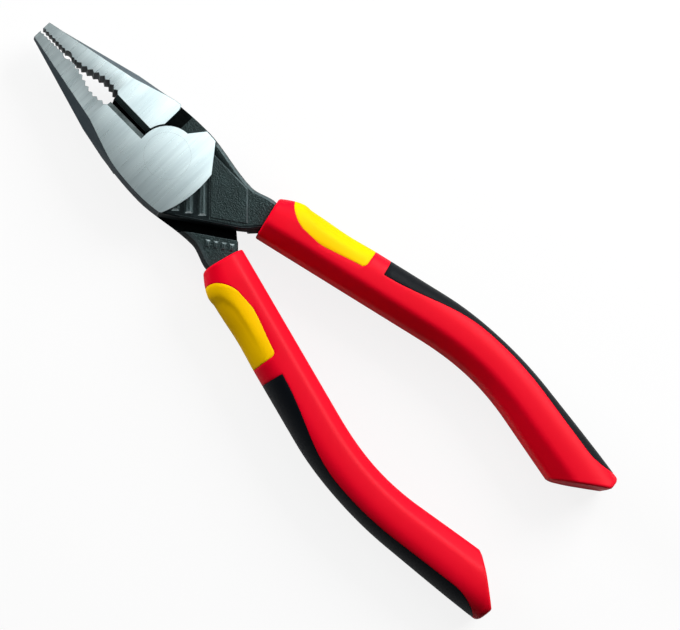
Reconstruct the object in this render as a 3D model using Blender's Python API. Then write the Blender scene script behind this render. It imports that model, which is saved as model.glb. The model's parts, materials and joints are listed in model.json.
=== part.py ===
"""Combination pliers of 160 mm: two forged halves on one rivet, with three-component grips.

Frame: +X runs from the jaw tips to the handle ends, +Y to the right handle and +Z up. The pliers
lie flat on their grips, and the origin is on the floor below the middle of their length.

Outlines are drawn in pivot coordinates: x and y from the pivot axis, z from the plane in which
the two halves lap. The front half has the left jaw, the upper lap plate and the right handle. The
rear half and the left grip are the front half and the right grip, turned half a turn about X.
"""

import math

import bmesh
import bpy
from mathutils import Vector

MM = 0.001

# Outline of the head, half of which lies on each side of the long axis
JAW_REACH = 39.3 * MM  # pivot axis to the jaw tips
TIP_WIDTH = 5.0 * MM
CREASE_REACH = 17.5 * MM  # here the parallel head faces turn into the tapering jaw faces
CREASE_WIDTH = 17.2 * MM
CHEEK_REACH = 10.0 * MM
CHEEK_WIDTH = 20.1 * MM
BELLY_REACH = 2.0 * MM  # the widest place, behind the pivot axis
HEAD_WIDTH = 22.0 * MM
WAIST_REACH = 17.5 * MM
WAIST_WIDTH = 18.4 * MM

# Thickness, and how far the faces stand inside the parting line
HEAD_THICKNESS = 9.5 * MM
TIP_THICKNESS = 4.0 * MM
NECK_THICKNESS = 7.8 * MM
TIP_DRAFT = 0.4 * MM
CREASE_DRAFT = 1.95 * MM
HEAD_DRAFT = 0.4 * MM
NECK_DRAFT = 0.9 * MM  # on the neck, the tang and the outer edge of the lap plate

# Gripping edge of a jaw; every depth is behind the line in which the jaws meet
REST_GAP = 0.7 * MM  # between the jaw tips as the pliers lie
FINE_PITCH = 0.95 * MM
FINE_TOOTH = 0.3 * MM
PIPE_START = 28.6 * MM  # front end of the hollow for round work
WIRE_HOLE_SET_OFF = 2.6 * MM  # from there to the small hole for wire
WIRE_HOLE_REACH = PIPE_START + WIRE_HOLE_SET_OFF
WIRE_HOLE_RADIUS = 1.15 * MM
WIRE_HOLE_DEPTH = 0.6 * MM
PIPE_DEEPEST = 20.8 * MM
PIPE_DEPTH = 1.8 * MM
COARSE_PITCH = 1.45 * MM
COARSE_TOOTH = 0.6 * MM
CUTTER_REACH = 17.2 * MM  # front end of the cutting edge
CUTTER_OPENING = 2.8 * MM  # width of the V between the cutters at the face
CUTTER_LAND = 0.3 * MM  # height of the cutting edge left between its two bevels
CUTTER_KNEE_SPAN = 0.3 * MM  # from the cutting edge to the knee between its steep and its wide facet
CUTTER_KNEE_DROP = 1.1 * MM  # of the knee below the face

# Centre line of a handle: straight, bent, straight; stations are lengths along it from the mouth
MOUTH_REACH = 24.6 * MM  # pivot axis to the mouth of the sleeve
MOUTH_SPAN = 7.55 * MM  # beside the long axis
HANDLE_ANGLE = math.radians(14.15)
HANDLE_STRAIGHT = 42.3 * MM
BEND_RADIUS = 74.0 * MM
TAIL_ANGLE = math.radians(-8.05)
HANDLE_REACH = 120.1 * MM  # pivot axis to the ends of the grips

# Lap joint
BOSS_RADIUS = 6.7 * MM
SHOULDER_REACH = 5.4 * MM  # the back of each jaw, which stops the opening
SHOULDER_ROUND = 2.0 * MM
NOTCH_ANGLE = math.radians(94.0)  # on the boss, where the notch for the other jaw begins
NOTCH_REACH = 2.1 * MM  # outer corner of the notch, behind the pivot axis
JOINT_GAP = 0.3 * MM
LAP_GAP = 0.1 * MM
PLATE_REACH = 10.0 * MM  # rear edge of the ground plate
PLATE_EDGE_RADIUS = 26.0 * MM
PLATE_CORNER_REACH = 5.0 * MM  # where the corner is cut off the plate, at its outer edge
PLATE_CORNER_SPAN = 4.1 * MM  # and beside the long axis
HEEL_REACH = 7.6 * MM  # here the inner edge of the neck leaves the head's outline
CROTCH_SET_IN = 2.2 * MM  # from the mouth to where the two handles part
CROTCH_REACH = MOUTH_REACH - CROTCH_SET_IN
CROTCH_LIFT = 0.2 * MM
RELIEF_REACH = 13.4 * MM  # here the neck gets its full thickness, at its outer edge
RELIEF_SET_IN = 0.4 * MM  # and from the mouth to the same place at its inner edge
RELIEF_END = MOUTH_REACH - RELIEF_SET_IN

# Raised forms on the neck, which lie across it; places are distances from the pivot axis
RIB_LEAN = math.radians(-45.0)
RIB_WIDTH = 1.9 * MM
RIB_HEIGHT = 0.5 * MM
RIB_MARGIN = 0.5 * MM  # kept free along the edge of the neck
RIB_PLACES = (1.9 * MM, 4.85 * MM, 7.8 * MM)
PANEL_START = 9.7 * MM
PANEL_SET_IN = 6.8 * MM  # kept free in front of the mouth
PANEL_END = MOUTH_REACH - PANEL_SET_IN
PANEL_HEIGHT = 0.3 * MM
KNOB_COUNT = 4
KNOB_ROW = (0.5, 0.9)  # first and last knob, as shares of the lap's rear edge
KNOB_LENGTH = 1.8 * MM
KNOB_WIDTH = 1.3 * MM
KNOB_HEIGHT = 0.4 * MM

# Rivet
RIVET_RADIUS = 3.5 * MM
RIVET_HEAD_RADIUS = 5.1 * MM
RIVET_HEAD_DEPTH = 1.5 * MM
RIVET_GAP = 0.1 * MM
RIVET_SIDES = 40

# Sleeve
GRIP_WIDTH = 11.1 * MM
BEND_WIDTH = 10.8 * MM
END_WIDTH = 12.7 * MM
GRIP_THICKNESS = 13.6 * MM
MOUTH_DROP = 0.5 * MM  # the mouth is lower than the grip, above and below
MOUTH_SET_IN = 1.3 * MM  # the outer edge at the mouth, inside the line of the grip
STOP_STATION = 6.3 * MM  # thumb stop
STOP_HEIGHT = 0.65 * MM
STOP_RUNOUT = 16.0 * MM
END_CORNER = 3.0 * MM  # from the centre line to the corner between the square end and the slanting one
END_SLOPE = math.radians(36.6)
END_PLAIN = 14.0 * MM  # straight flanks before the end
END_ROUND = 0.8 * MM
LAND_SPAN = 1.3 * MM  # of the flat along the top and the bottom, outwards from the centre line
FLANK_SPAN = 2.6 * MM  # inwards from the centre line to where the sloping inner flank begins
FLANK_LEVEL = 3.6 * MM  # where that flank ends, above and below the middle
SECTION_POWER = 2.5  # of the superellipse that rounds the outer side
FLANK_POWER = 4.0  # and of the fuller one from which the inner flank is cut
SECTION_SIDES = 20
STATION_STEP = 4.0 * MM

# Tang and the cavity round it
SLEEVE_WALL = 2.7 * MM
MOUTH_WALL = 0.9 * MM
ROOT_LENGTH = 10.0 * MM
TANG_END_WALL = 15.5 * MM
TANG_LENGTH = HANDLE_REACH - MOUTH_REACH - TANG_END_WALL
TANG_GAP = 0.3 * MM

# Pad and strip let into the outer side of a sleeve
INLAY_DEPTH = 1.5 * MM
INLAY_GAP = 0.3 * MM
PAD_START = 3.3 * MM
PAD_DIP_STATION = 12.6 * MM
PAD_DIP = -0.5 * MM  # edge of the pad beside the centre line, where it reaches furthest in
PAD_END = 23.8 * MM
PAD_END_EDGE = 0.3 * MM
PAD_END_LEAN = 1.1 * MM
BAND_WIDTH = 4.4 * MM  # of the sleeve between the pad and the strip
STRIP_START = PAD_END + BAND_WIDTH
STRIP_START_EDGE = 1.25 * MM
STRIP_NARROW = 54.0 * MM
STRIP_EDGE = 3.8 * MM
STRIP_END_WALL = 0.5 * MM
STRIP_END = HANDLE_REACH - MOUTH_REACH - STRIP_END_WALL
STRIP_RUNOUT = 8.6 * MM  # over which the strip narrows to its end

# How far a cutter runs past what it cuts
OVERRUN = 4.0 * MM

# Flat pieces that make up each curve, and the angle up to which edges are shaded smooth
ARC_STEPS = 8
BOSS_STEPS = 12
OUTLINE_STEPS = 8
MOUTH_STEPS = 3
EDGE_STEPS = 6
ROUND_STEPS = 3
SMOOTH_ANGLE = math.radians(30.0)

FORGED_STEEL = ("forged_steel", (0.30, 0.34, 0.35), 0.42, 1.0)
RIVET_STEEL = ("rivet_steel", (0.56, 0.61, 0.62), 0.32, 1.0)
RED_SLEEVE = ("red_polypropylene", (0.80, 0.01, 0.03), 0.42, 0.0)
YELLOW_PAD = ("yellow_elastomer", (0.90, 0.55, 0.0), 0.5, 0.0)
BLACK_STRIP = ("black_elastomer", (0.02, 0.024, 0.027), 0.6, 0.0)


def clear_scene():
    """Remove every object that the file opened with."""
    for thing in list(bpy.data.objects):
        bpy.data.objects.remove(thing, do_unlink=True)


def material(name, color, roughness, metallic):
    """A Principled material."""
    made = bpy.data.materials.new(name)
    made.use_nodes = True
    surface = made.node_tree.nodes["Principled BSDF"]
    surface.inputs["Base Color"].default_value = (*color, 1.0)
    surface.inputs["Roughness"].default_value = roughness
    surface.inputs["Metallic"].default_value = metallic
    return made


def ease(start, end, share):
    """A value that leaves start and reaches end without a corner."""
    share = min(1.0, max(0.0, share))
    return start + (end - start) * share * share * (3.0 - 2.0 * share)


def span(start, end, count):
    """Evenly spaced values from start to end, both included."""
    return [start + (end - start) * step / count for step in range(count + 1)]


def arc(center, radius, start, end, count):
    """Points on an arc from one angle to another."""
    return [
        (center[0] + radius * math.cos(angle), center[1] + radius * math.sin(angle))
        for angle in span(start, end, count)
    ]


def mesh_object(name, bm):
    """An object holding a bmesh, with its faces pointing out."""
    bmesh.ops.recalc_face_normals(bm, faces=bm.faces)
    mesh = bpy.data.meshes.new(name)
    bm.to_mesh(mesh)
    bm.free()
    made = bpy.data.objects.new(name, mesh)
    bpy.context.scene.collection.objects.link(made)
    return made


def loft(name, rings, bent_end=False):
    """A closed body through rings of equal length; a bent end is closed by strips across it."""
    bm = bmesh.new()
    loops = [[bm.verts.new(point) for point in ring] for ring in rings]
    for lower, upper in zip(loops, loops[1:]):
        for here in range(len(lower)):
            after = (here + 1) % len(lower)
            bm.faces.new((lower[here], lower[after], upper[after], upper[here]))
    bmesh.ops.triangulate(bm, faces=bm.faces[:])
    bm.faces.new(reversed(loops[0]))
    last = loops[-1]
    if bent_end:
        for here in range(len(last) // 2 - 1):
            bm.faces.new((last[here], last[here + 1], last[-here - 2], last[-here - 1]))
    else:
        bm.faces.new(last)
    return mesh_object(name, bm)


def prism(name, outline, low, high):
    """An upright prism on a plan outline."""
    return loft(name, [[(x, y, z) for x, y in outline] for z in (low, high)])


def combine(target, tool, operation="DIFFERENCE"):
    """Cut, join or keep the common part of two bodies; the tool is used up."""
    modifier = target.modifiers.new(tool.name, "BOOLEAN")
    modifier.object = tool
    modifier.operation = operation
    modifier.solver = "EXACT"
    settle(target)
    bpy.data.objects.remove(tool, do_unlink=True)


def settle(thing):
    """Make an object's modifiers part of its mesh."""
    bpy.context.view_layer.update()
    evaluated = thing.evaluated_get(bpy.context.evaluated_depsgraph_get())
    settled = bpy.data.meshes.new_from_object(evaluated)
    thing.modifiers.clear()
    thing.data = settled


# Head


def edge_span(x):
    """Distance of the parting line from the long axis, along the head and the neck."""
    crease, cheek, belly = CREASE_WIDTH / 2, CHEEK_WIDTH / 2, HEAD_WIDTH / 2
    if x < -CREASE_REACH:
        along = (x + JAW_REACH) / (JAW_REACH - CREASE_REACH)
        return TIP_WIDTH / 2 + (crease - TIP_WIDTH / 2) * along
    if x < -CHEEK_REACH:
        return crease + (cheek - crease) * (x + CREASE_REACH) / (CREASE_REACH - CHEEK_REACH)
    if x < BELLY_REACH:
        along = (x + CHEEK_REACH) / (BELLY_REACH + CHEEK_REACH)
        return cheek + (belly - cheek) * math.sin(along * math.pi / 2)
    return ease(belly, WAIST_WIDTH / 2, (x - BELLY_REACH) / (WAIST_REACH - BELLY_REACH))


def edge_draft(x):
    """How far the face stands inside the parting line, on the jaw's side."""
    if x < -CREASE_REACH:
        return ease(TIP_DRAFT, CREASE_DRAFT, (x + JAW_REACH) / (JAW_REACH - CREASE_REACH))
    return ease(CREASE_DRAFT, HEAD_DRAFT, (x + CREASE_REACH) / (CREASE_REACH - SHOULDER_REACH))


def meeting_line(x):
    """Half the gap between the jaws, which closes towards the pivot axis."""
    return REST_GAP / 2 * -x / JAW_REACH


def pipe_depth(x):
    """Depth of the hollow for round work."""
    if x < -PIPE_DEEPEST:
        return ease(0.0, PIPE_DEPTH, (x + PIPE_START) / (PIPE_START - PIPE_DEEPEST))
    return ease(PIPE_DEPTH, CUTTER_OPENING / 2, (x + PIPE_DEEPEST) / (PIPE_DEEPEST - CUTTER_REACH))


def teeth(start, end, pitch, tooth, base):
    """Points of a row of teeth from start to end, each tooth a peak and the root after it."""
    count = max(1, round((start - end) / pitch))
    step = (end - start) / count
    points = []
    for place in range(count):
        peak = start + step * place
        root = peak + step / 2
        points += [(peak, base(peak)), (root, base(root) + tooth)]
    return points


def wire_hole():
    """Points of the small round hollow near the tip, from its rear edge to its front edge."""
    drop = WIRE_HOLE_RADIUS - WIRE_HOLE_DEPTH
    half = math.acos(drop / WIRE_HOLE_RADIUS)
    middle = math.pi / 2
    return arc((-WIRE_HOLE_REACH, -drop), WIRE_HOLE_RADIUS, middle - half, middle + half, ARC_STEPS)


def no_depth(x):
    """Depth of the plain stretches of the gripping edge."""
    return 0.0


def gripping_edge():
    """Inner edge of the left jaw, from the cutter to the tip."""
    hole = wire_hole()
    depths = [(-BOSS_RADIUS, 0.0), (-CUTTER_REACH, 0.0)]
    depths += teeth(-CUTTER_REACH, -PIPE_START, COARSE_PITCH, COARSE_TOOTH, pipe_depth)
    depths += teeth(-PIPE_START, hole[0][0], FINE_PITCH, FINE_TOOTH, no_depth)
    depths += hole
    depths += teeth(hole[-1][0], -JAW_REACH, FINE_PITCH, FINE_TOOTH, no_depth)[1:]
    depths.append((-JAW_REACH, 0.0))
    return [(x, -meeting_line(x) - depth) for x, depth in depths]


def handle_point(station, offset):
    """Plan point beside the centre line of the right handle; a positive offset is outwards."""
    x, y, angle = MOUTH_REACH, MOUTH_SPAN, HANDLE_ANGLE
    bend = bend_length()
    straight = min(station, HANDLE_STRAIGHT)
    x += straight * math.cos(angle)
    y += straight * math.sin(angle)
    if station > HANDLE_STRAIGHT:
        angle -= min(station - HANDLE_STRAIGHT, bend) / BEND_RADIUS
        x += BEND_RADIUS * (math.sin(HANDLE_ANGLE) - math.sin(angle))
        y += BEND_RADIUS * (math.cos(angle) - math.cos(HANDLE_ANGLE))
    tail = max(0.0, station - HANDLE_STRAIGHT - bend)
    x += tail * math.cos(angle) - offset * math.sin(angle)
    y += tail * math.sin(angle) + offset * math.cos(angle)
    return (x, y)


def bend_length():
    """Length of the bend along the centre line."""
    return BEND_RADIUS * (HANDLE_ANGLE - TAIL_ANGLE)


def bend_middle():
    """Station of the middle of the bend."""
    return HANDLE_STRAIGHT + bend_length() / 2


def end_station():
    """Station at which the centre line reaches the end of the grip."""
    tail = HANDLE_STRAIGHT + bend_length()
    return tail + (HANDLE_REACH - handle_point(tail, 0.0)[0]) / math.cos(TAIL_ANGLE)


def tang_half_width(station, side):
    """Half-width of the tang; side is 1 outwards and -1 inwards."""
    root = grip_edge(0.0, side) - MOUTH_WALL
    return ease(root, GRIP_WIDTH / 2 - SLEEVE_WALL, station / ROOT_LENGTH)


def tang_edge(side, grow, start, end):
    """Plan points of one edge of the tang between two stations, grown sideways."""
    stations = [start] + [station for station in span(0.0, ROOT_LENGTH, OUTLINE_STEPS) if station > start]
    stations += span(HANDLE_STRAIGHT, end, OUTLINE_STEPS)
    return [
        handle_point(station, side * (tang_half_width(station, side) + grow))
        for station in stations
    ]


def tang_ring(grow, start, end):
    """Plan of the tang, out along its inner edge and back along its outer edge."""
    return tang_edge(-1, grow, start, end) + tang_edge(1, grow, start, end)[::-1]


def neck_edge(share):
    """Point of the parting line on the outside of the neck, from the waist to the mouth."""
    mouth = handle_point(0.0, tang_half_width(0.0, 1))
    x = WAIST_REACH + (mouth[0] - WAIST_REACH) * share
    return (x, ease(WAIST_WIDTH / 2, mouth[1], share))


def half_outline():
    """Plan of the front half: pairs of a point in the parting plane and one on the face."""
    stations = [-JAW_REACH, -CREASE_REACH] + span(-CHEEK_REACH, HEEL_REACH, OUTLINE_STEPS)
    pairs = [((x, -edge_span(x)), (x, -edge_span(x) + edge_draft(x))) for x in stations]
    pairs.append(((CROTCH_REACH, CROTCH_LIFT), (CROTCH_REACH, CROTCH_LIFT)))
    pairs += zip(tang_ring(0.0, 0.0, TANG_LENGTH), tang_ring(-NECK_DRAFT, 0.0, TANG_LENGTH))
    outside = [neck_edge(share) for share in span(1.0, 0.0, OUTLINE_STEPS)[1:]]
    outside += [(x, edge_span(x)) for x in span(WAIST_REACH, NOTCH_REACH, OUTLINE_STEPS)[1:]]
    pairs += [((x, y), (x, y - NECK_DRAFT)) for x, y in outside]
    upright = arc((0.0, 0.0), BOSS_RADIUS, NOTCH_ANGLE, math.pi, BOSS_STEPS) + gripping_edge()
    return pairs + [(point, point) for point in upright]


def blank():
    """The front half before its joint, faces and cutters are cut: its plan at full thickness."""
    pairs = half_outline()
    rise = HEAD_THICKNESS / 2
    edge = [(*point, 0.0) for point, face in pairs]
    faces = [[(*face, level) for point, face in pairs] for level in (-rise, rise)]
    return loft("front_half", [faces[0], edge, faces[1]])


def jaw_taper(side):
    """Cutter that thins the jaw towards its tip, above (1) or below (-1)."""
    slope = (HEAD_THICKNESS - TIP_THICKNESS) / 2 / (JAW_REACH - CREASE_REACH)
    rings = []
    for y in (-HEAD_WIDTH, HEAD_WIDTH):
        ring = []
        for x in (-CREASE_REACH + OVERRUN, -JAW_REACH - OVERRUN):
            ring.append((x, y, side * (HEAD_THICKNESS / 2 + slope * (x + CREASE_REACH))))
        for x in (-JAW_REACH - OVERRUN, -CREASE_REACH + OVERRUN):
            ring.append((x, y, side * (HEAD_THICKNESS + OVERRUN)))
        rings.append(ring)
    return loft("jaw_taper", rings)


def cutter_bevel(side):
    """Cutter that grinds the two facets of the cutting edge, above (1) or below (-1)."""
    face = HEAD_THICKNESS / 2
    knee = face - CUTTER_KNEE_DROP
    rise = (knee - CUTTER_LAND / 2) / CUTTER_KNEE_SPAN
    lean = (CUTTER_OPENING / 2 - CUTTER_KNEE_SPAN) / CUTTER_KNEE_DROP
    rings = []
    for x in (-CUTTER_REACH - COARSE_PITCH / 4, -BOSS_RADIUS):
        edge = -meeting_line(x)
        rings.append([
            (x, edge + OVERRUN, side * (CUTTER_LAND / 2 - rise * OVERRUN)),
            (x, edge - CUTTER_KNEE_SPAN, side * knee),
            (x, edge - lean * OVERRUN - CUTTER_OPENING / 2, side * (face + OVERRUN)),
            (x, edge + OVERRUN, side * (face + OVERRUN)),
        ])
    return loft("cutter_bevel", rings)


def lap_recess():
    """Cutter that makes room for the other half below the lap plane."""
    room = BOSS_RADIUS + JOINT_GAP
    corner = edge_span(-SHOULDER_REACH)
    far = HEAD_WIDTH
    back = math.pi + math.acos(SHOULDER_REACH / room)
    outline = [(-room, far)] + arc((0.0, 0.0), room, math.pi, back, ARC_STEPS)
    turn = (-SHOULDER_REACH - SHOULDER_ROUND, -corner + SHOULDER_ROUND)
    outline += arc(turn, SHOULDER_ROUND, 0.0, -math.pi / 2, ARC_STEPS)
    outline += [(turn[0], -far), (RELIEF_END + OVERRUN, -far)]
    inner = inner_neck_span(RELIEF_END)
    outer = edge_span(RELIEF_REACH)
    lean = (RELIEF_END - RELIEF_REACH) / (outer - inner)
    outline += [
        (RELIEF_END + OVERRUN, inner - OVERRUN / lean),
        (RELIEF_REACH - OVERRUN, outer + OVERRUN / lean),
        (RELIEF_REACH - OVERRUN, far),
    ]
    return prism("lap_recess", outline, -HEAD_THICKNESS, LAP_GAP / 2)


def inner_neck_span(x):
    """Distance of the neck's inner edge from the long axis, between the crotch and the mouth."""
    end = handle_point(0.0, -tang_half_width(0.0, -1))
    return CROTCH_LIFT + (end[1] - CROTCH_LIFT) * (x - CROTCH_REACH) / (end[0] - CROTCH_REACH)


def neck_step(side):
    """Cutter that lowers the neck behind the ground plate, above (1) or behind the lap below (-1)."""
    far = HEAD_WIDTH
    end = HANDLE_REACH + OVERRUN
    middle = (PLATE_REACH - PLATE_EDGE_RADIUS, 0.0)
    turn = math.asin(PLATE_CORNER_SPAN / PLATE_EDGE_RADIUS)
    low = -math.asin(edge_span(HEEL_REACH) / PLATE_EDGE_RADIUS)
    edge = arc(middle, PLATE_EDGE_RADIUS, low, turn, ARC_STEPS)
    corner = (PLATE_CORNER_REACH, edge_span(PLATE_CORNER_REACH) - NECK_DRAFT)
    lean = (edge[-1][0] - corner[0]) / (corner[1] - edge[-1][1])
    outline = [(edge[0][0], -far)] + edge + [corner, (corner[0] - lean * OVERRUN, corner[1] + OVERRUN)]
    outline += [(corner[0] - lean * OVERRUN, far + OVERRUN), (end, far + OVERRUN), (end, -far)]
    if side > 0:
        return prism("neck_step", outline, NECK_THICKNESS / 2, HEAD_THICKNESS)
    outline = [(0.0, -far), (end, -far), (end, far + OVERRUN), (0.0, far + OVERRUN)]
    return prism("neck_step", outline, -HEAD_THICKNESS, -NECK_THICKNESS / 2)


def turned(name, profile):
    """A body turned about the pivot axis from (radius, z) points."""
    step = 2 * math.pi / RIVET_SIDES
    rings = [
        [(r * math.cos(step * side), r * math.sin(step * side), z) for side in range(RIVET_SIDES)]
        for r, z in profile
    ]
    return loft(name, rings)


def rivet_profile(gap):
    """Outline of the rivet, or with a gap that of its hole."""
    face = HEAD_THICKNESS / 2
    seat = face - RIVET_HEAD_DEPTH
    head, shank = RIVET_HEAD_RADIUS + gap, RIVET_RADIUS + gap
    return [(head, -face), (shank, -seat), (shank, seat), (head, face)]


def rivet_hole():
    """Cutter for the hole of the rivet, run on past both faces."""
    profile = rivet_profile(RIVET_GAP)
    past = HEAD_THICKNESS / 2 + OVERRUN
    head = profile[0][0]
    return turned("rivet_hole", [(head, -past), *profile, (head, past)])


def across_neck(place, along):
    """Plan point at a distance from the pivot axis across the ribs, and at one along them."""
    turn = RIB_LEAN + math.pi / 2
    x = place * math.cos(turn) + along * math.cos(RIB_LEAN)
    y = place * math.sin(turn) + along * math.sin(RIB_LEAN)
    return (x, y)


def neck_reach(place):
    """Distance along a rib at which it meets the neck's inner edge."""
    heel = (HEEL_REACH, -edge_span(HEEL_REACH))
    crotch = (CROTCH_REACH, CROTCH_LIFT)
    mouth = handle_point(0.0, -tang_half_width(0.0, -1))
    start, end = (heel, crotch) if place < across_place(crotch) else (crotch, mouth)
    run = (end[0] - start[0], end[1] - start[1])
    origin = across_neck(place, 0.0)
    ahead = (math.cos(RIB_LEAN), math.sin(RIB_LEAN))
    crossing = (start[0] - origin[0]) * run[1] - (start[1] - origin[1]) * run[0]
    return crossing / (ahead[0] * run[1] - ahead[1] * run[0])


def across_place(point):
    """Distance of a plan point from the pivot axis across the ribs."""
    return -point[0] * math.sin(RIB_LEAN) + point[1] * math.cos(RIB_LEAN)


def raised_bar(start, angle, length, width, height, side):
    """A low bar with sloping flanks on the neck, above (1) or below (-1)."""
    ahead = Vector((math.cos(angle), math.sin(angle)))
    aside = Vector((-ahead.y, ahead.x))
    rings = []
    for lift, grow in ((-height, height), (height, -height)):
        level = side * (NECK_THICKNESS / 2 + lift)
        ring = []
        for along, across in ((0.0, -1), (length, -1), (length, 1), (0.0, 1)):
            end = grow if along else -grow
            point = Vector(start) + ahead * (along + end) + aside * across * (width / 2 + grow)
            ring.append((point.x, point.y, level))
        rings.append(ring)
    return loft("raised_bar", rings)


def neck_ribs():
    """The ribs between the ground plate and the panel."""
    bars = []
    for place in RIB_PLACES:
        start = PLATE_REACH / math.cos(RIB_LEAN) - place - 2 * RIB_WIDTH
        length = neck_reach(place) - RIB_MARGIN - RIB_WIDTH / 2 - start
        bars.append(raised_bar(across_neck(place, start), RIB_LEAN, length, RIB_WIDTH, RIB_HEIGHT, 1))
    return bars


def neck_panel():
    """The plain raised panel across the neck, from the ground plate to the grip."""
    margin = RIB_MARGIN + NECK_DRAFT
    top = WAIST_WIDTH / 2 - margin
    corners = [
        across_neck(PANEL_START, PLATE_REACH / math.cos(RIB_LEAN) - PANEL_START - RIB_WIDTH),
        across_neck(PANEL_START, neck_reach(PANEL_START) - margin),
        across_neck(PANEL_END, neck_reach(PANEL_END) - margin),
        (PANEL_END / math.cos(RIB_LEAN) - top, top),
        (PLATE_CORNER_REACH, top),
    ]
    low = NECK_THICKNESS / 2 - PANEL_HEIGHT
    return prism("neck_panel", corners, low, NECK_THICKNESS / 2 + PANEL_HEIGHT)


def neck_knobs():
    """The row of short bars below, along the edge that faces the other half's lap plate."""
    outer = Vector((RELIEF_REACH, edge_span(RELIEF_REACH)))
    inner = Vector((RELIEF_END, inner_neck_span(RELIEF_END)))
    run = inner - outer
    facing = math.atan2(run.y, run.x) + math.pi / 2
    away = Vector((math.cos(facing), math.sin(facing)))
    bars = []
    for share in span(*KNOB_ROW, KNOB_COUNT - 1):
        start = outer + run * share + away * (RIB_MARGIN + KNOB_HEIGHT)
        bars.append(raised_bar(start, facing, KNOB_LENGTH, KNOB_WIDTH, KNOB_HEIGHT, -1))
    return bars


def front_half():
    """The forged half with the left jaw, the upper lap plate and the right tang."""
    half = blank()
    for side in (1, -1):
        combine(half, jaw_taper(side))
        combine(half, neck_step(side))
    combine(half, lap_recess())
    for side in (1, -1):
        combine(half, cutter_bevel(side))
    for form in neck_ribs() + [neck_panel()] + neck_knobs():
        combine(half, form, "UNION")
    combine(half, rivet_hole())
    return half


# Grip


def grip_edge(station, side):
    """Distance of the grip's outline from the centre line; side is 1 outwards and -1 inwards."""
    middle = bend_middle()
    if station < middle:
        width = ease(GRIP_WIDTH, BEND_WIDTH, (station - HANDLE_STRAIGHT) / (middle - HANDLE_STRAIGHT))
    else:
        width = ease(BEND_WIDTH, END_WIDTH, (station - middle) / (STRIP_END - middle))
    if side < 0:
        return width / 2
    if station < STOP_STATION:
        rise = math.sin(math.pi / 2 * station / STOP_STATION)
        return width / 2 - MOUTH_SET_IN + (STOP_HEIGHT + MOUTH_SET_IN) * rise
    return width / 2 + ease(STOP_HEIGHT, 0.0, (station - STOP_STATION) / STOP_RUNOUT)


def flank_share(across, up, reach, height):
    """Share at which a line from the centre to a point of the section meets the inner flank."""
    slope = Vector((height - FLANK_LEVEL, reach - FLANK_SPAN))
    return slope.dot((FLANK_SPAN, height)) / slope.dot((across, up))


def section(station, inset):
    """Outline of the grip across its centre line as (offset, level): flat lands and a sloping inner flank."""
    height = GRIP_THICKNESS / 2 - ease(MOUTH_DROP, 0.0, station / STOP_STATION) - inset
    outline = []
    for corner in range(SECTION_SIDES):
        angle = 2 * math.pi * (corner + 0.5) / SECTION_SIDES
        side = 1 if math.cos(angle) > 0 else -1
        power = SECTION_POWER if side > 0 else FLANK_POWER
        reach = grip_edge(station, side) - inset
        across = reach * abs(math.cos(angle)) ** (2 / power)
        up = height * abs(math.sin(angle)) ** (2 / power)
        if corner % (SECTION_SIDES // 2) in (SECTION_SIDES // 4 - 1, SECTION_SIDES // 4):
            across, up = LAND_SPAN if side > 0 else FLANK_SPAN, height
        elif side < 0:
            share = min(1.0, flank_share(across, up, reach, height))
            across, up = across * share, up * share
        outline.append((side * across, math.copysign(up, math.sin(angle))))
    return outline


def grip_rings(start, inset):
    """Sections of the grip from one station to its plain end, inside its surface by the inset."""
    plain = end_station() - END_PLAIN
    stations = [start] + span(start + MM, STOP_STATION, MOUTH_STEPS)
    stations += span(STOP_STATION, plain, round((plain - STOP_STATION) / STATION_STEP))[1:]
    return [
        [(*handle_point(station, offset), level) for offset, level in section(station, inset)]
        for station in stations
    ]


def end_reach(offset):
    """Station at which a line beside the centre line meets the square end or the slanting one."""
    corner = END_CORNER * math.cos(TAIL_ANGLE)
    square = end_station() + max(offset, corner) * math.tan(TAIL_ANGLE)
    return square + min(0.0, offset - corner) / math.tan(END_SLOPE - TAIL_ANGLE)


def end_ring(drop, inset):
    """Ring of the grip at a drop before its end faces, inside its surface by the inset."""
    return [
        (*handle_point(end_reach(offset) - drop, offset), level)
        for offset, level in section(end_station(), inset)
    ]


def grip_blank(name):
    """The whole outside of a grip, with its bent end and the round along its edge."""
    rings = grip_rings(0.0, 0.0)
    for turn in span(0.0, math.pi / 2, ROUND_STEPS):
        rings.append(end_ring(END_ROUND * (1 - math.sin(turn)), END_ROUND * (1 - math.cos(turn))))
    return loft(name, rings, bent_end=True)


def grip_core(inset):
    """Cutter for what lies deeper in the grip than the inset, run on past both its ends."""
    past = end_station() + 2 * OVERRUN
    rings = grip_rings(-OVERRUN, inset)
    rings.append([(*handle_point(past, offset), level) for offset, level in section(past, inset)])
    return loft("grip_core", rings)


def inlay_block(edge, end_lean, gap):
    """Block over an inlay: its edge as (station, offset) points, grown all round by a gap."""
    past = END_WIDTH
    start, end = edge[0][0] - gap, edge[-1][0] + gap
    points = [(start, past), (start, edge[0][1] - gap)]
    points += [(station, offset - gap) for station, offset in edge[1:-1]]
    points += [(end, edge[-1][1] - gap), (end + end_lean, past)]
    outline = [handle_point(*point) for point in points]
    return prism("inlay_block", outline, -GRIP_THICKNESS, GRIP_THICKNESS)


def eased_edge(start, end, count):
    """Points of an edge that runs from one (station, offset) to another without a corner."""
    return [
        (start[0] + (end[0] - start[0]) * share, ease(start[1], end[1], share))
        for share in span(0.0, 1.0, count)
    ]


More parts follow.
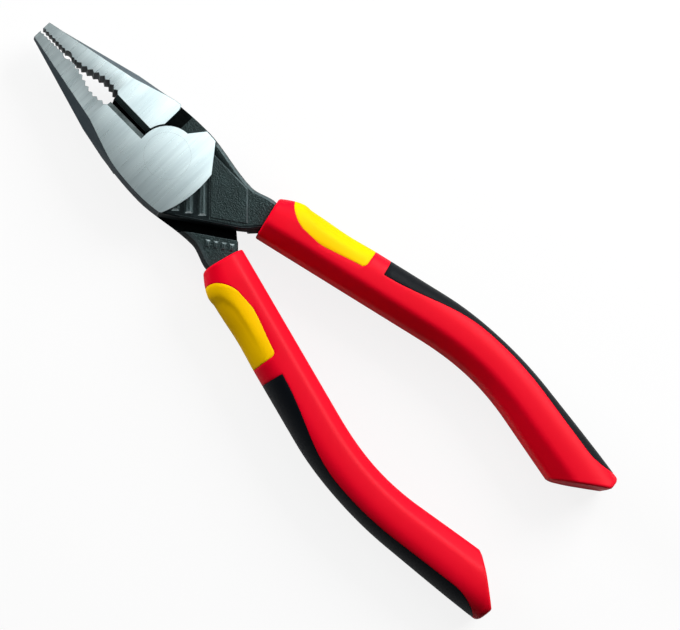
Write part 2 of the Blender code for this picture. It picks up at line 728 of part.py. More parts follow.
def pad_edge():
    """Edge of the yellow pad on the face of the grip: a quarter of an ellipse, then an eased run."""
    length = PAD_DIP_STATION - PAD_START
    outer = grip_edge(PAD_START, 1)
    front = [
        (PAD_DIP_STATION - length * math.cos(turn), outer - (outer - PAD_DIP) * math.sin(turn))
        for turn in span(0.0, math.pi / 2, EDGE_STEPS)
    ]
    return front + eased_edge((PAD_DIP_STATION, PAD_DIP), (PAD_END, PAD_END_EDGE), EDGE_STEPS)[1:]


def strip_edge():
    """Edge of the black strip on the face of the grip."""
    tail = STRIP_END - STRIP_RUNOUT
    edge = eased_edge((STRIP_START, STRIP_START_EDGE), (STRIP_NARROW, STRIP_EDGE), EDGE_STEPS)
    edge += [(station, STRIP_EDGE) for station in span(STRIP_NARROW, tail, EDGE_STEPS)[1:]]
    rise = grip_edge(STRIP_END, 1) - STRIP_EDGE
    for share in span(0.0, 1.0, EDGE_STEPS)[1:]:
        edge.append((tail + STRIP_RUNOUT * share, STRIP_EDGE + rise * share * share))
    return edge


def inlay(name, edge, end_lean):
    """A pad or strip: the skin of the grip within its edge."""
    made = grip_blank(name)
    combine(made, inlay_block(edge, end_lean, 0.0), "INTERSECT")
    combine(made, grip_core(INLAY_DEPTH - INLAY_GAP))
    return made


def inlay_pocket(edge, end_lean):
    """Cutter for the pocket in which a pad or strip lies."""
    pocket = inlay_block(edge, end_lean, INLAY_GAP)
    combine(pocket, grip_core(INLAY_DEPTH))
    return pocket


def tang_cavity():
    """Cutter for the cavity of the sleeve, the tang with a gap all round."""
    rise = NECK_THICKNESS / 2 + TANG_GAP
    narrowed = TANG_GAP - NECK_DRAFT * rise / (HEAD_THICKNESS / 2)
    rings = []
    for level, grow in ((-rise, narrowed), (0.0, TANG_GAP), (rise, narrowed)):
        plan = tang_ring(grow, -OVERRUN, TANG_LENGTH + TANG_GAP)
        rings.append([(*point, level) for point in plan])
    return loft("tang_cavity", rings)


def sleeve():
    """The red sleeve, with its cavity and the pockets of its inlays."""
    made = grip_blank("right_grip_sleeve")
    combine(made, inlay_pocket(pad_edge(), PAD_END_LEAN))
    combine(made, inlay_pocket(strip_edge(), 0.0))
    combine(made, tang_cavity())
    return made


# Assembly


def place(thing, frame, finish):
    """Hang a finished piece on its frame, with its material and smooth shading."""
    thing.parent = frame
    thing.data.materials.clear()
    thing.data.materials.append(finish)
    thing.data.shade_smooth()
    thing.data.set_sharp_from_angle(angle=SMOOTH_ANGLE)


def pivot_frame(name, turn):
    """An empty on the pivot axis, in the lap plane, turned about the long axis."""
    frame = bpy.data.objects.new(name, None)
    frame.location = Vector(((JAW_REACH - HANDLE_REACH) / 2, 0.0, GRIP_THICKNESS / 2))
    frame.rotation_euler.x = turn
    bpy.context.scene.collection.objects.link(frame)
    return frame


def build():
    """Make the front half with its grip, and turn copies of them for the rear half."""
    clear_scene()
    front = pivot_frame("front_frame", 0.0)
    rear = pivot_frame("rear_frame", math.pi)
    steel = material(*FORGED_STEEL)
    pieces = [
        (front_half(), "rear_half", steel),
        (sleeve(), "left_grip_sleeve", material(*RED_SLEEVE)),
        (inlay("right_grip_pad", pad_edge(), PAD_END_LEAN), "left_grip_pad", material(*YELLOW_PAD)),
        (inlay("right_grip_strip", strip_edge(), 0.0), "left_grip_strip", material(*BLACK_STRIP)),
    ]
    place(turned("pivot_rivet", rivet_profile(0.0)), front, material(*RIVET_STEEL))
    for piece, other_name, finish in pieces:
        place(piece, front, finish)
        other = bpy.data.objects.new(other_name, piece.data)
        bpy.context.scene.collection.objects.link(other)
        other.parent = rear


build()
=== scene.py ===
# %% [markdown]
# Combination pliers, 160 mm long: two forged halves lap over each other on one rivet, and each
# handle wears a moulded grip of three plastics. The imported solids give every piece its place, so
# this lesson only makes the finer surfaces and finishes around them, and then the studio.

# %% Load the fixed frame
import json
import math

import bmesh
import bpy
from mathutils import Matrix, Vector


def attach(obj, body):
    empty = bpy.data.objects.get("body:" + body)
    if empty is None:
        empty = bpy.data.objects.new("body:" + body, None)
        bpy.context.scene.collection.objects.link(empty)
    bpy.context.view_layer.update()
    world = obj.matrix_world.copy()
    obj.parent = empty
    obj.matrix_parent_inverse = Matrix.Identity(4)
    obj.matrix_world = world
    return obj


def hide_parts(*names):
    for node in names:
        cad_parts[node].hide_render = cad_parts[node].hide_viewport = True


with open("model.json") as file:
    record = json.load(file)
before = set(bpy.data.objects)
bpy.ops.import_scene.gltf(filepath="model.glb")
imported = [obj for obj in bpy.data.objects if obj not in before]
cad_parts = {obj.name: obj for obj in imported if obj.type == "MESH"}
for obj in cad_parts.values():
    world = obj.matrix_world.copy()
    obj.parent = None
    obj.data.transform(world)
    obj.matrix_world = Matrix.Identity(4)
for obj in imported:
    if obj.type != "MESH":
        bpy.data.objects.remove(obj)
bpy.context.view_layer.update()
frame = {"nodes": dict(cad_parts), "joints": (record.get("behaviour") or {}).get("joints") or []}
MM = 0.001
PIVOT = Vector(frame["joints"][0]["pos_m"])
print("nodes", sorted(frame["nodes"]), "pivot", [round(v / MM, 2) for v in PIVOT])

# %% [markdown]
# Colours are written as on a colour chart, in sRGB hex. The shader works in linear light, so one
# function converts them. Another adds a node with its settings and its links in one line, and a
# third starts a material, whose patterns all read the object's own coordinates, in metres.


# %% Colour and node helpers
def linear(code, alpha=1.0):
    """Linear colour of an sRGB hex code."""
    shares = [int(code[place:place + 2], 16) / 255 for place in (1, 3, 5)]
    light = [s / 12.92 if s <= 0.04045 else ((s + 0.055) / 1.055) ** 2.4 for s in shares]
    return (*light, alpha)


def node(tree, kind, inputs=None, **settings):
    """Add a node; an input takes a value, or an output socket to link."""
    made = tree.nodes.new(kind)
    for key, value in settings.items():
        setattr(made, key, value)
    for key, value in (inputs or {}).items():
        if isinstance(value, bpy.types.NodeSocket):
            tree.links.new(value, made.inputs[key])
        else:
            made.inputs[key].default_value = value
    return made


def start_material(name, roughness, metallic, sheen=0.5):
    """A new material with its Principled shader set; hands out the tree, shader and coordinates."""
    made = bpy.data.materials.new(name)
    made.use_nodes = True
    tree = made.node_tree
    shader = tree.nodes["Principled BSDF"]
    shader.inputs["Roughness"].default_value = roughness
    shader.inputs["Metallic"].default_value = metallic
    shader.inputs["Specular IOR Level"].default_value = sheen
    place = node(tree, "ShaderNodeTexCoord").outputs["Object"]
    return made, tree, shader, place


def per_mm(size):
    """Scale of a noise whose grains are about a size in millimetres."""
    return 1.0 / (size * MM)


print("middle grey #808080 is", round(linear("#808080")[0], 3), "in linear light")

# %% [markdown]
# Ground tool steel. The faces of the head are ground on a wide belt that runs across the pliers, so
# fine scratches lie along Y. They are about 0.05 mm apart on the real tool, too fine to show here, so
# they are drawn 0.15 mm apart. Soft streaks, a millimetre or so wide, show where the belt bit more. A
# picture of brushed metal could give both, but two noises stretched along Y never repeat. The soft
# wheel behind the belt leaves each face crowned by a few degrees, which lets a lamp fade across it. To
# the eye that is a bright satin grey. A metal keeps the default IOR, and its colour is its reflection.

# %% Ground tool steel
SCRATCH_MM, SCRATCH_STRETCH = 0.15, (1.0, 0.015, 0.3)
STREAK_MM, STREAK_STRETCH = 1.3, (1.0, 0.06, 0.3)
SCRATCH_SHARE, SCRATCH_RELIEF, SCRATCH_DEPTH = 0.5, 0.05, 0.02 * MM
CROWN = math.radians(4.0) / (20.0 * MM)


def ground_steel(name, dark, light):
    made, tree, shader, place = start_material(name, 0.28, 1.0)
    along = node(tree, "ShaderNodeMapping", {"Vector": place, "Scale": SCRATCH_STRETCH})
    lines = node(tree, "ShaderNodeTexNoise", {
        "Vector": along.outputs["Vector"], "Scale": per_mm(SCRATCH_MM), "Detail": 2.0, "Roughness": 0.5})
    broad = node(tree, "ShaderNodeMapping", {"Vector": place, "Scale": STREAK_STRETCH})
    streaks = node(tree, "ShaderNodeTexNoise", {
        "Vector": broad.outputs["Vector"], "Scale": per_mm(STREAK_MM), "Detail": 3.0, "Roughness": 0.5})
    faint = node(tree, "ShaderNodeMath", {
        0: lines.outputs["Fac"], 1: SCRATCH_SHARE}, operation="MULTIPLY")
    whole = node(tree, "ShaderNodeMath", {
        0: streaks.outputs["Fac"], 1: faint.outputs[0]}, operation="ADD")
    tone = node(tree, "ShaderNodeMapRange", {
        "Value": whole.outputs[0], "From Min": 0.38, "From Max": 0.98})
    color = node(tree, "ShaderNodeMix", {
        "Factor": tone.outputs[0], "A": linear(dark), "B": linear(light)}, data_type="RGBA")
    rough = node(tree, "ShaderNodeMapRange", {
        "Value": lines.outputs["Fac"], "From Min": 0.3, "From Max": 0.7,
        "To Min": 0.27, "To Max": 0.31})
    across = node(tree, "ShaderNodeSeparateXYZ", {"Vector": place}).outputs["Y"]
    square = node(tree, "ShaderNodeMath", {0: across, 1: across}, operation="MULTIPLY")
    crown = node(tree, "ShaderNodeMath", {0: square.outputs[0], 1: -CROWN}, operation="MULTIPLY")
    arched = node(tree, "ShaderNodeBump", {
        "Height": crown.outputs[0], "Strength": 1.0, "Distance": 1.0})
    bump = node(tree, "ShaderNodeBump", {
        "Height": lines.outputs["Fac"], "Strength": SCRATCH_RELIEF, "Distance": SCRATCH_DEPTH,
        "Normal": arched.outputs[0]})
    tree.links.new(color.outputs["Result"], shader.inputs["Base Color"])
    tree.links.new(rough.outputs[0], shader.inputs["Roughness"])
    tree.links.new(bump.outputs[0], shader.inputs["Normal"])
    return made


plate_steel = ground_steel("ground_tool_steel_plate", "#ACBDC1", "#C6D6D8")
# The jaw faces take a lighter copy of the same ground steel: a painted brighter reflection for their
# taper.
jaw_steel_painted_brighter = ground_steel("ground_tool_steel_jaw", "#B8C9CC", "#D2E1E3")
print("materials", plate_steel.name, jaw_steel_painted_brighter.name)

# %% [markdown]
# Black phosphated forging. The rest of each half keeps its forged skin, with grains of a third of a
# millimetre, under a black conversion coat. The coat is no metal to the eye: dark, with a dull sheen.
# Darker and lighter copies of the coat paint light and shade: near-black painted shade in the walls
# and hollows, darker painted shade on the neck's sides and between its ribs, a painted lit and shaded
# pair for the flanks, and lighter grey on proud edges and rib ends that is partly wear and partly
# painted highlight. Each of these could be a material made anew, but they differ only by degrees, so
# one recipe of a fine noise and a broad one takes two tones, a roughness, a relief and a sheen.

# %% Black phosphated forging
GRAIN_MM, CLOUD_MM, GRAIN_DEPTH = 0.35, 3.5, 0.16 * MM
COAT_TINT = "#CDEEEF"


def forged_skin(name, dark, light, roughness, relief, sheen):
    made, tree, shader, place = start_material(name, roughness, 0.0, sheen)
    shader.inputs["Specular Tint"].default_value = linear(COAT_TINT)
    grain = node(tree, "ShaderNodeTexNoise", {
        "Vector": place, "Scale": per_mm(GRAIN_MM), "Detail": 3.0, "Roughness": 0.65})
    cloud = node(tree, "ShaderNodeTexNoise", {
        "Vector": place, "Scale": per_mm(CLOUD_MM), "Detail": 3.0})
    mixed = node(tree, "ShaderNodeMath", {
        0: grain.outputs["Fac"], 1: cloud.outputs["Fac"]}, operation="ADD")
    tone = node(tree, "ShaderNodeMapRange", {
        "Value": mixed.outputs[0], "From Min": 0.75, "From Max": 1.3})
    color = node(tree, "ShaderNodeMix", {
        "Factor": tone.outputs[0], "A": linear(dark), "B": linear(light)}, data_type="RGBA")
    bump = node(tree, "ShaderNodeBump", {
        "Height": grain.outputs["Fac"], "Strength": relief, "Distance": GRAIN_DEPTH})
    tree.links.new(color.outputs["Result"], shader.inputs["Base Color"])
    tree.links.new(bump.outputs[0], shader.inputs["Normal"])
    return made


black_skin = forged_skin("black_phosphated_forging", "#060A0A", "#1A2626", 0.3, 1.0, 0.42)
# Darker painted shade for the neck's sides, its inner rounds and the flats between its ribs.
neck_painted_shade = forged_skin("black_phosphated_neck_painted_shade", "#0E1314", "#20282A", 0.6, 0.6, 0.06)
# A painted lit and shaded pair of the flank coat: the lighter for the flank that faces the key, the
# darker for the flank and the tooth walls in the shade.
flank_painted_lit = forged_skin("phosphated_flank_painted_lit", "#36434A", "#48555B", 0.5, 0.16, 0.1)
flank_painted_shade = forged_skin("phosphated_flank_painted_shade", "#273138", "#353F45", 0.5, 0.16, 0.1)
milled = forged_skin("milled_cutter_steel", "#323A3A", "#606A6A", 0.5, 0.4, 0.25)
# Painted shade: near-black, without sheen, for the walls and recesses where shade falls.
painted_shade_skin = forged_skin("black_painted_shade_wall", "#070909", "#121616", 0.9, 0.5, 0.0)
# Lighter grey for the edges: partly wear, partly painted highlight.
worn_and_highlit_skin = forged_skin("phosphate_worn_and_painted_highlight", "#222B2D", "#4A5658", 0.35, 0.4, 0.45)
# Lighter grey for the rib and knob ends: partly wear, partly painted glint.
rubbed_and_glint_skin = forged_skin("phosphate_rubbed_bright", "#566264", "#9AA6A8", 0.35, 0.6, 0.5)
print("coats from", painted_shade_skin.name, "to", rubbed_and_glint_skin.name)

# %% [markdown]
# Moulded plastics. The sleeve is red polypropylene, the pad and the strip are soft elastomers. All
# three leave a mould whose steel was eroded by sparks, which gives a fine, even grain and a satin
# sheen. A broad, faint change of tone stands for the flow of the melt. The grain could be modelled,
# but at a third of a millimetre a bump is all that the eye can tell.

# %% Moulded plastics
FLOW_MM, SPARK_DEPTH = 14.0, 0.05 * MM


def moulded(name, dark, light, roughness, grain_mm, relief, sheen):
    made, tree, shader, place = start_material(name, roughness, 0.0, sheen)
    grain = node(tree, "ShaderNodeTexNoise", {
        "Vector": place, "Scale": per_mm(grain_mm), "Detail": 2.0, "Roughness": 0.5})
    flow = node(tree, "ShaderNodeTexNoise", {
        "Vector": place, "Scale": per_mm(FLOW_MM), "Detail": 2.0})
    color = node(tree, "ShaderNodeMix", {
        "Factor": flow.outputs["Fac"], "A": linear(dark), "B": linear(light)}, data_type="RGBA")
    rough = node(tree, "ShaderNodeMapRange", {
        "Value": grain.outputs["Fac"], "From Min": 0.3, "From Max": 0.7,
        "To Min": roughness - 0.05, "To Max": roughness + 0.07})
    bump = node(tree, "ShaderNodeBump", {
        "Height": grain.outputs["Fac"], "Strength": relief, "Distance": SPARK_DEPTH})
    tree.links.new(color.outputs["Result"], shader.inputs["Base Color"])
    tree.links.new(rough.outputs[0], shader.inputs["Roughness"])
    tree.links.new(bump.outputs[0], shader.inputs["Normal"])
    return made


red_plastic = moulded("moulded_red_polypropylene", "#DE001C", "#E80026", 0.52, 0.3, 0.1, 0.12)
yellow_rubber = moulded("moulded_yellow_elastomer", "#FABE00", "#FFCC00", 0.6, 0.35, 0.14, 0.06)
black_rubber = moulded("moulded_black_elastomer", "#03060A", "#090D12", 0.5, 0.3, 0.3, 0.07)
print("materials", red_plastic.name, yellow_rubber.name, black_rubber.name)

# %% [markdown]
# Operators act on whatever is selected, and loading leaves all the solids selected. So each step
# starts from a clean selection, and edges or faces are then picked in code by a test of their own.


# %% Small helpers for selecting and editing
def only(thing):
    """Leave object mode on, with this object alone selected and active."""
    if bpy.context.mode != "OBJECT":
        bpy.ops.object.mode_set(mode="OBJECT")
    bpy.ops.object.select_all(action="DESELECT")
    bpy.context.view_layer.objects.active = thing
    thing.select_set(True)
    return thing


def edit(thing, kind="VERT"):
    """Open an object to pick its points, edges or faces, with none picked, and hand out its mesh."""
    only(thing)
    bpy.ops.object.mode_set(mode="EDIT")
    bpy.ops.mesh.select_mode(type=kind)
    bpy.ops.mesh.select_all(action="DESELECT")
    return bmesh.from_edit_mesh(thing.data)


print("loading left", len(bpy.context.selected_objects), "solids selected")

# %% [markdown]
# The steel half. It could be modelled anew, but its solid already has every cut and rib, so a copy of
# that mesh is the blank. The solid's triangles come loose, so they are merged first, and flat
# neighbours are dissolved into one face each.

# %% Copy and clean the front half
MERGE, SLIVER = 0.05 * MM, 0.01 * MM
solid = frame["nodes"]["front_half"]
front = bpy.data.objects.new("front_half_forging", solid.data.copy())
bpy.context.scene.collection.objects.link(front)
edit(front)
bpy.ops.mesh.select_all(action="SELECT")
bpy.ops.mesh.remove_doubles(threshold=MERGE)
bpy.ops.mesh.dissolve_degenerate(threshold=SLIVER)
bpy.ops.mesh.dissolve_limited(angle_limit=math.radians(0.6))
bpy.ops.object.mode_set(mode="OBJECT")
print("front half", len(front.data.polygons), "faces after dissolving")

# %% [markdown]
# Each face is then told its finish by its place. The two flat head faces and the tapered jaw faces
# are ground, the jaw faces in a lighter copy that paints a brighter reflection, and the cutters are
# milled. All the rest is forged skin, in copies that paint light and shade: near-black painted shade
# in walls and recesses, darker painted shade on the neck's sides and between its ribs, a painted lit
# and shaded pair on the flanks, and lighter grey on edges and rib ends, partly wear and partly painted
# highlight. Colours painted on points would blur, but whole faces keep each border as crisp as the
# wheel left it. A few flat faces change halfway, where their painted shade starts, such as the floor
# of the lap, so they are first cut in two.

# %% Cut the flat faces where their painted shade starts
HEAD_RISE, NECK_RISE, PANEL_RISE = 4.75 * MM, 3.9 * MM, 4.2 * MM
LAP_FLOOR = 0.1 * MM
POCKET_REACH = -2.7 * MM
ALONG = Vector((1.0, 0.0, 0.0))
ACROSS_RIBS = Vector((0.7, 0.715, 0.0))
RIBS_END = 9.2 * MM


def cut_level(level, direction, reach):
    """Cut the flat faces at a level in two, where they reach so far in a direction from the pivot."""
    mesh = edit(front, "FACE")
    for face in mesh.faces:
        at_level = abs(face.calc_center_median().z - PIVOT.z - level) < LAP_FLOOR
        if at_level and abs(face.normal.z) > 0.9:
            face.select_set(True)
    bpy.ops.mesh.bisect(plane_co=PIVOT + direction * reach, plane_no=direction)
    bpy.ops.object.mode_set(mode="OBJECT")


# The lap floor is cut where its near-black painted shade starts on either side of the pocket, and the
# neck's flat where the painted shade between the ribs ends.
cut_level(0.0, ALONG, POCKET_REACH)
cut_level(0.0, ALONG, HEAD_RISE)
cut_level(NECK_RISE, ACROSS_RIBS, RIBS_END)
print("front half", len(front.data.polygons), "faces after cutting the flat ones")

# %% Give each face its finish and its painted light and shade
CREASE_REACH = 17.5 * MM
BOSS_RADIUS = 6.7 * MM
FLAT, LEVEL_SLACK = 0.97, 0.03 * MM
RUB_AND_GLINT_ABOVE, RUB_AND_GLINT_BELOW = Vector((0.7, -0.7)), Vector((-0.64, -0.77))
FINISHES_AND_PAINTED_LIGHT = (plate_steel, jaw_steel_painted_brighter, black_skin, flank_painted_lit, milled, painted_shade_skin,
            worn_and_highlit_skin, neck_painted_shade, rubbed_and_glint_skin, flank_painted_shade, neck_painted_shade)
GROUND, JAW, SKIN, FLANK, MILLED, WALL, WORN_AND_HIGHLIT, SIDE, RUBBED_AND_GLINT, TOOTH, GROOVE = range(len(FINISHES_AND_PAINTED_LIGHT))


def finish_and_painted_light_of(face):
    """Slot of a face of the front half, by where it lies and how it faces."""
    here = face.center - PIVOT
    facing = face.normal
    lying = abs(facing.z)
    if lying > FLAT and facing.z * here.z > 0:
        # Painted brighter reflection: the tapered jaw faces take the lighter steel copy.
        if here.x < -CREASE_REACH:
            return JAW
        if abs(abs(here.z) - HEAD_RISE) < LEVEL_SLACK:
            return GROUND
    if -CREASE_REACH < here.x < -BOSS_RADIUS and facing.y > 0.2 and 0.1 < lying < FLAT:
        return MILLED
    # Flanks: the lit or the painted-shade flank coat, set for each half below.
    if here.x < 1.5 * HEAD_RISE and lying < 0.6 and facing.y < -0.3:
        return FLANK
    # Painted shade on the walls in the mouth: the darker flank copy on the tooth walls, near-black by
    # the boss.
    if here.x < -BOSS_RADIUS and lying < 0.3 and facing.y > -0.3:
        return TOOTH if here.x < -CREASE_REACH else WALL
    # Painted shade on the lap floor: near-black beyond the pocket, the plain coat within it.
    if abs(here.z) < LAP_FLOOR:
        return SKIN if POCKET_REACH < here.x < HEAD_RISE else WALL
    on_neck = abs(here.z - NECK_RISE) < LAP_FLOOR and facing.z > FLAT
    # Darker painted shade on the neck's flat between the ribs.
    if on_neck and ACROSS_RIBS.dot(here) < RIBS_END:
        return GROOVE
    # Darker painted shade on the neck's sides.
    if here.x > 0.5 * HEAD_RISE and lying < 0.5:
        return SIDE
    # Lighter grey on the rib and knob ends that face these ways: partly wear, partly painted glint.
    rub_and_glint_facing = RUB_AND_GLINT_ABOVE if facing.z > 0 else RUB_AND_GLINT_BELOW
    if here.x > 0.0 and 0.5 < lying < 0.9 and rub_and_glint_facing.dot(facing.xy) > 0.6:
        return RUBBED_AND_GLINT
    return SKIN


front.data.materials.clear()
for material in FINISHES_AND_PAINTED_LIGHT:
    front.data.materials.append(material)
for face in front.data.polygons:
    face.material_index = finish_and_painted_light_of(face)
used = [face.material_index for face in front.data.polygons]
print("faces of each finish", [used.count(slot) for slot in range(len(FINISHES_AND_PAINTED_LIGHT))])

# %% [markdown]
# The long edges of the neck are broken by hand with a file. On the outer side that leaves a narrow
# chamfer, in a lighter grey that is partly wear and partly painted highlight, and on the inner side a
# soft round, in the neck's darker painted shade. Such edges are wider than a bevel modifier gives the
# rest, so they are picked and bevelled in edit mode.


# %% Ease the long edges of the neck
def ease_edges(level, facing, width, segments, slot):
    """Bevel the neck's edges at a level that lead to a side facing the right (1) or the left (-1)."""
    mesh = edit(front, "EDGE")
    for edge in mesh.edges:
        flat, side = sorted(edge.link_faces, key=lambda face: -abs(face.normal.z))
        at_level = all(abs(vert.co.z - PIVOT.z - level) < LAP_FLOOR / 2 for vert in edge.verts)
        leads_down = side.material_index == SIDE and flat.material_index in (SKIN, GROOVE)
        if at_level and edge.is_convex and leads_down:
            edge.select_set(side.normal.y * facing > 0.2)
    print("bevelled", sum(edge.select for edge in mesh.edges), "edges at", round(level / MM, 2), "mm")
    bpy.ops.mesh.bevel(offset=width, segments=segments, affect="EDGES", material=slot)
    bpy.ops.object.mode_set(mode="OBJECT")


ease_edges(NECK_RISE, 1, 0.5 * MM, 1, WORN_AND_HIGHLIT)
ease_edges(-NECK_RISE, 1, 0.5 * MM, 1, WORN_AND_HIGHLIT)
ease_edges(PANEL_RISE, 1, 0.25 * MM, 1, WORN_AND_HIGHLIT)
ease_edges(NECK_RISE, -1, 0.8 * MM, 3, SIDE)

# %% [markdown]
# No real edge is a razor. Grinding leaves an edge of less than a tenth of a millimetre along the
# bright faces, and forging and blasting leave softer ones, of a quarter, on the black skin. Round the
# rivet, which is ground together with the plate, hardly any is left. The bevel modifier takes its
# width from a weight on each edge, so one modifier makes them all.

# %% Bevel the edges by weight
SOFT_EDGE, CRISP_SHARE, FLUSH_SHARE = 0.24 * MM, 0.3, 0.08
SHARP, LONG_EDGE, RIVET_HOLE = math.radians(24), 2.5 * MM, 5.6 * MM


def modify(thing, kind, **settings):
    """Add a modifier with its settings and apply it."""
    only(thing)
    made = thing.modifiers.new(kind.lower(), kind)
    for key, value in settings.items():
        setattr(made, key, value)
    bpy.ops.object.modifier_apply(modifier=made.name)


def smooth(thing, degrees):
    """Shade an object smooth, but for its edges sharper than an angle."""
    only(thing)
    bpy.ops.object.shade_smooth_by_angle(angle=math.radians(degrees))


mesh = bmesh.new()
mesh.from_mesh(front.data)
weight = mesh.edges.layers.float.new("bevel_weight_edge")
for edge in mesh.edges:
    if len(edge.link_faces) == 2 and edge.calc_face_angle_signed() > SHARP:
        forged = {face.material_index for face in edge.link_faces} == {SKIN}
        edge[weight] = 1.0 if forged and edge.calc_length() > LONG_EDGE else CRISP_SHARE
        if all((vert.co - PIVOT).xy.length < RIVET_HOLE for vert in edge.verts):
            edge[weight] = FLUSH_SHARE
mesh.to_mesh(front.data)
mesh.free()
# Every bevel face takes the lighter edge grey: partly wear, partly painted highlight.
modify(front, "BEVEL", width=SOFT_EDGE, segments=2, limit_method="WEIGHT",
       use_clamp_overlap=False, material=WORN_AND_HIGHLIT)
smooth(front, 32)
modify(front, "WEIGHTED_NORMAL", keep_sharp=True)
print("front half", len(front.data.polygons), "faces after bevelling")

# %% [markdown]
# The rear half is the same forging, turned over about the long axis. Everything made for the front
# half is therefore copied with a mesh of its own, turned by half a turn and its turn applied. It could
# be mirrored, but a mirror image would be another forging. Two finishes differ, as painted light and
# shade: the rear half's cutter, turned away from the key, takes the plain black coat as painted shade,
# and the front half's flank, in the shade, the darker flank copy, while the rear half's flank keeps
# the lit one.


# %% Turn a copy over for the rear half
def turn_over(thing, name):
    """A copy of a piece, turned half a turn about the long axis through the pivot."""
    only(thing)
    bpy.ops.object.duplicate()
    made = bpy.context.active_object
    made.name = name
    bpy.ops.transform.rotate(value=math.pi, orient_axis="X", center_override=PIVOT)
    bpy.ops.object.transform_apply(location=True, rotation=True, scale=True)
    return made


def settle_on(thing, body, node):
    """Hide a solid, and let the finished piece that takes its place move with its body."""
    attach(thing, body)
    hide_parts(node)
    print(thing.name, len(thing.data.polygons), "faces")


rear = turn_over(front, "rear_half_forging")
# Painted shade: the rear half's cutter facet, turned away from the key, takes the plain black coat, and
# the front half's flank the darker flank copy.
rear.data.materials[MILLED] = black_skin
front.data.materials[FLANK] = flank_painted_shade
settle_on(front, "front", "front_half")
settle_on(rear, "rear", "rear_half")

# %% [markdown]
# The rivet is pressed in, and its heads are ground flush with the plates, so that all that shows is a
# faint ring. It could be a plain cylinder, but a rivet swells into its countersunk holes. Its half
# outline, the same above as below, is drawn by extruding one point and is then spun round the axis.

# %% Spin the rivet
RIVET_STEPS = 96
RIVET_HEAD = [(0.0, 4.745), (5.2, 4.745), (5.19, 4.6), (3.5, 3.25)]
RIVET_OUTLINE = [(radius, -level) for radius, level in RIVET_HEAD] + RIVET_HEAD[::-1]
bpy.ops.object.select_all(action="DESELECT")
bpy.ops.mesh.primitive_plane_add(size=1.0 * MM, location=PIVOT)
rivet = bpy.context.active_object
rivet.name = "flush_rivet"
bpy.ops.object.transform_apply(location=True)
edit(rivet)
bpy.ops.mesh.select_all(action="SELECT")
bpy.ops.mesh.merge(type="CENTER")
here = Vector((0.0, 0.0, 0.0))
for count, (radius, level) in enumerate(RIVET_OUTLINE):
    there = Vector((radius, 0.0, level)) * MM
    if count == 0:
        bpy.ops.transform.translate(value=there - here)
    else:
        bpy.ops.mesh.extrude_vertices_move(TRANSFORM_OT_translate={"value": there - here})
    here = there
bpy.ops.mesh.select_all(action="SELECT")
bpy.ops.mesh.spin(steps=RIVET_STEPS, angle=2 * math.pi, center=PIVOT, axis=(0.0, 0.0, 1.0))
bpy.ops.mesh.select_all(action="SELECT")
bpy.ops.mesh.remove_doubles(threshold=SLIVER)
bpy.ops.mesh.normals_make_consistent(inside=False)
bpy.ops.object.mode_set(mode="OBJECT")
rivet.data.materials.append(plate_steel)
smooth(rivet, 30)
settle_on(rivet, "front", "pivot_rivet")

# %% [markdown]
# The grip follows a centre line that runs straight, bends and runs straight again. Stations are
# lengths along it from the mouth, and an offset is outwards from it, all in millimetres. The same few
# sizes as in the solids give its width at each station, so the finer skin lies on its solid. A straight
# grip could be bent along a curve instead, but that would stretch those sizes.

# %% Centre line of a grip
MOUTH = (24.6, 7.55)
HANDLE_ANGLE, TAIL_ANGLE = math.radians(14.15), math.radians(-8.05)
STRAIGHT = 42.3
BEND_RADIUS = 74.0
BEND = BEND_RADIUS * (HANDLE_ANGLE - TAIL_ANGLE)
HANDLE_REACH = 120.1


def beside(station, offset):
    """Plan point beside the centre line, in millimetres from the pivot."""
    x, y, angle = *MOUTH, HANDLE_ANGLE
    straight = min(station, STRAIGHT)
    x += straight * math.cos(angle)
    y += straight * math.sin(angle)
    if station > STRAIGHT:
        angle -= min(station - STRAIGHT, BEND) / BEND_RADIUS
        x += BEND_RADIUS * (math.sin(HANDLE_ANGLE) - math.sin(angle))
        y += BEND_RADIUS * (math.cos(angle) - math.cos(HANDLE_ANGLE))
    tail = max(0.0, station - STRAIGHT - BEND)
    x += tail * math.cos(angle) - offset * math.sin(angle)
    y += tail * math.sin(angle) + offset * math.cos(angle)
    return x, y


END = STRAIGHT + BEND + (HANDLE_REACH - beside(STRAIGHT + BEND, 0.0)[0]) / math.cos(TAIL_ANGLE)
print("grip", round(END, 2), "mm long, at its end", [round(v, 2) for v in beside(END, 0.0)])

# %% Width of a grip
BEND_MIDDLE, STRIP_END = STRAIGHT + BEND / 2, 95.0
GRIP_WIDTH, BEND_WIDTH, END_WIDTH = 11.1, 10.8, 12.7
MOUTH_SET_IN = 1.3
STOP_STATION, STOP_HEIGHT, STOP_RUNOUT = 6.3, 0.65, 16.0


def ease(start, end, share):
    """A value that leaves start and reaches end without a corner."""
    share = min(1.0, max(0.0, share))
    return start + (end - start) * share * share * (3.0 - 2.0 * share)


def half_width(station, side):
    """Distance of the grip's outline from its centre line, outwards (1) or inwards (-1)."""
    if station < BEND_MIDDLE:
        width = ease(GRIP_WIDTH, BEND_WIDTH, (station - STRAIGHT) / (BEND_MIDDLE - STRAIGHT))
    else:
        width = ease(BEND_WIDTH, END_WIDTH, (station - BEND_MIDDLE) / (STRIP_END - BEND_MIDDLE))
    if side < 0:
        return width / 2
    if station < STOP_STATION:
        rise = math.sin(math.pi / 2 * station / STOP_STATION)
        return width / 2 - MOUTH_SET_IN + (STOP_HEIGHT + MOUTH_SET_IN) * rise
    return width / 2 + ease(STOP_HEIGHT, 0.0, (station - STOP_STATION) / STOP_RUNOUT)


print("wide at the stop", round(half_width(STOP_STATION, 1) + half_width(STOP_STATION, -1), 2), "mm")

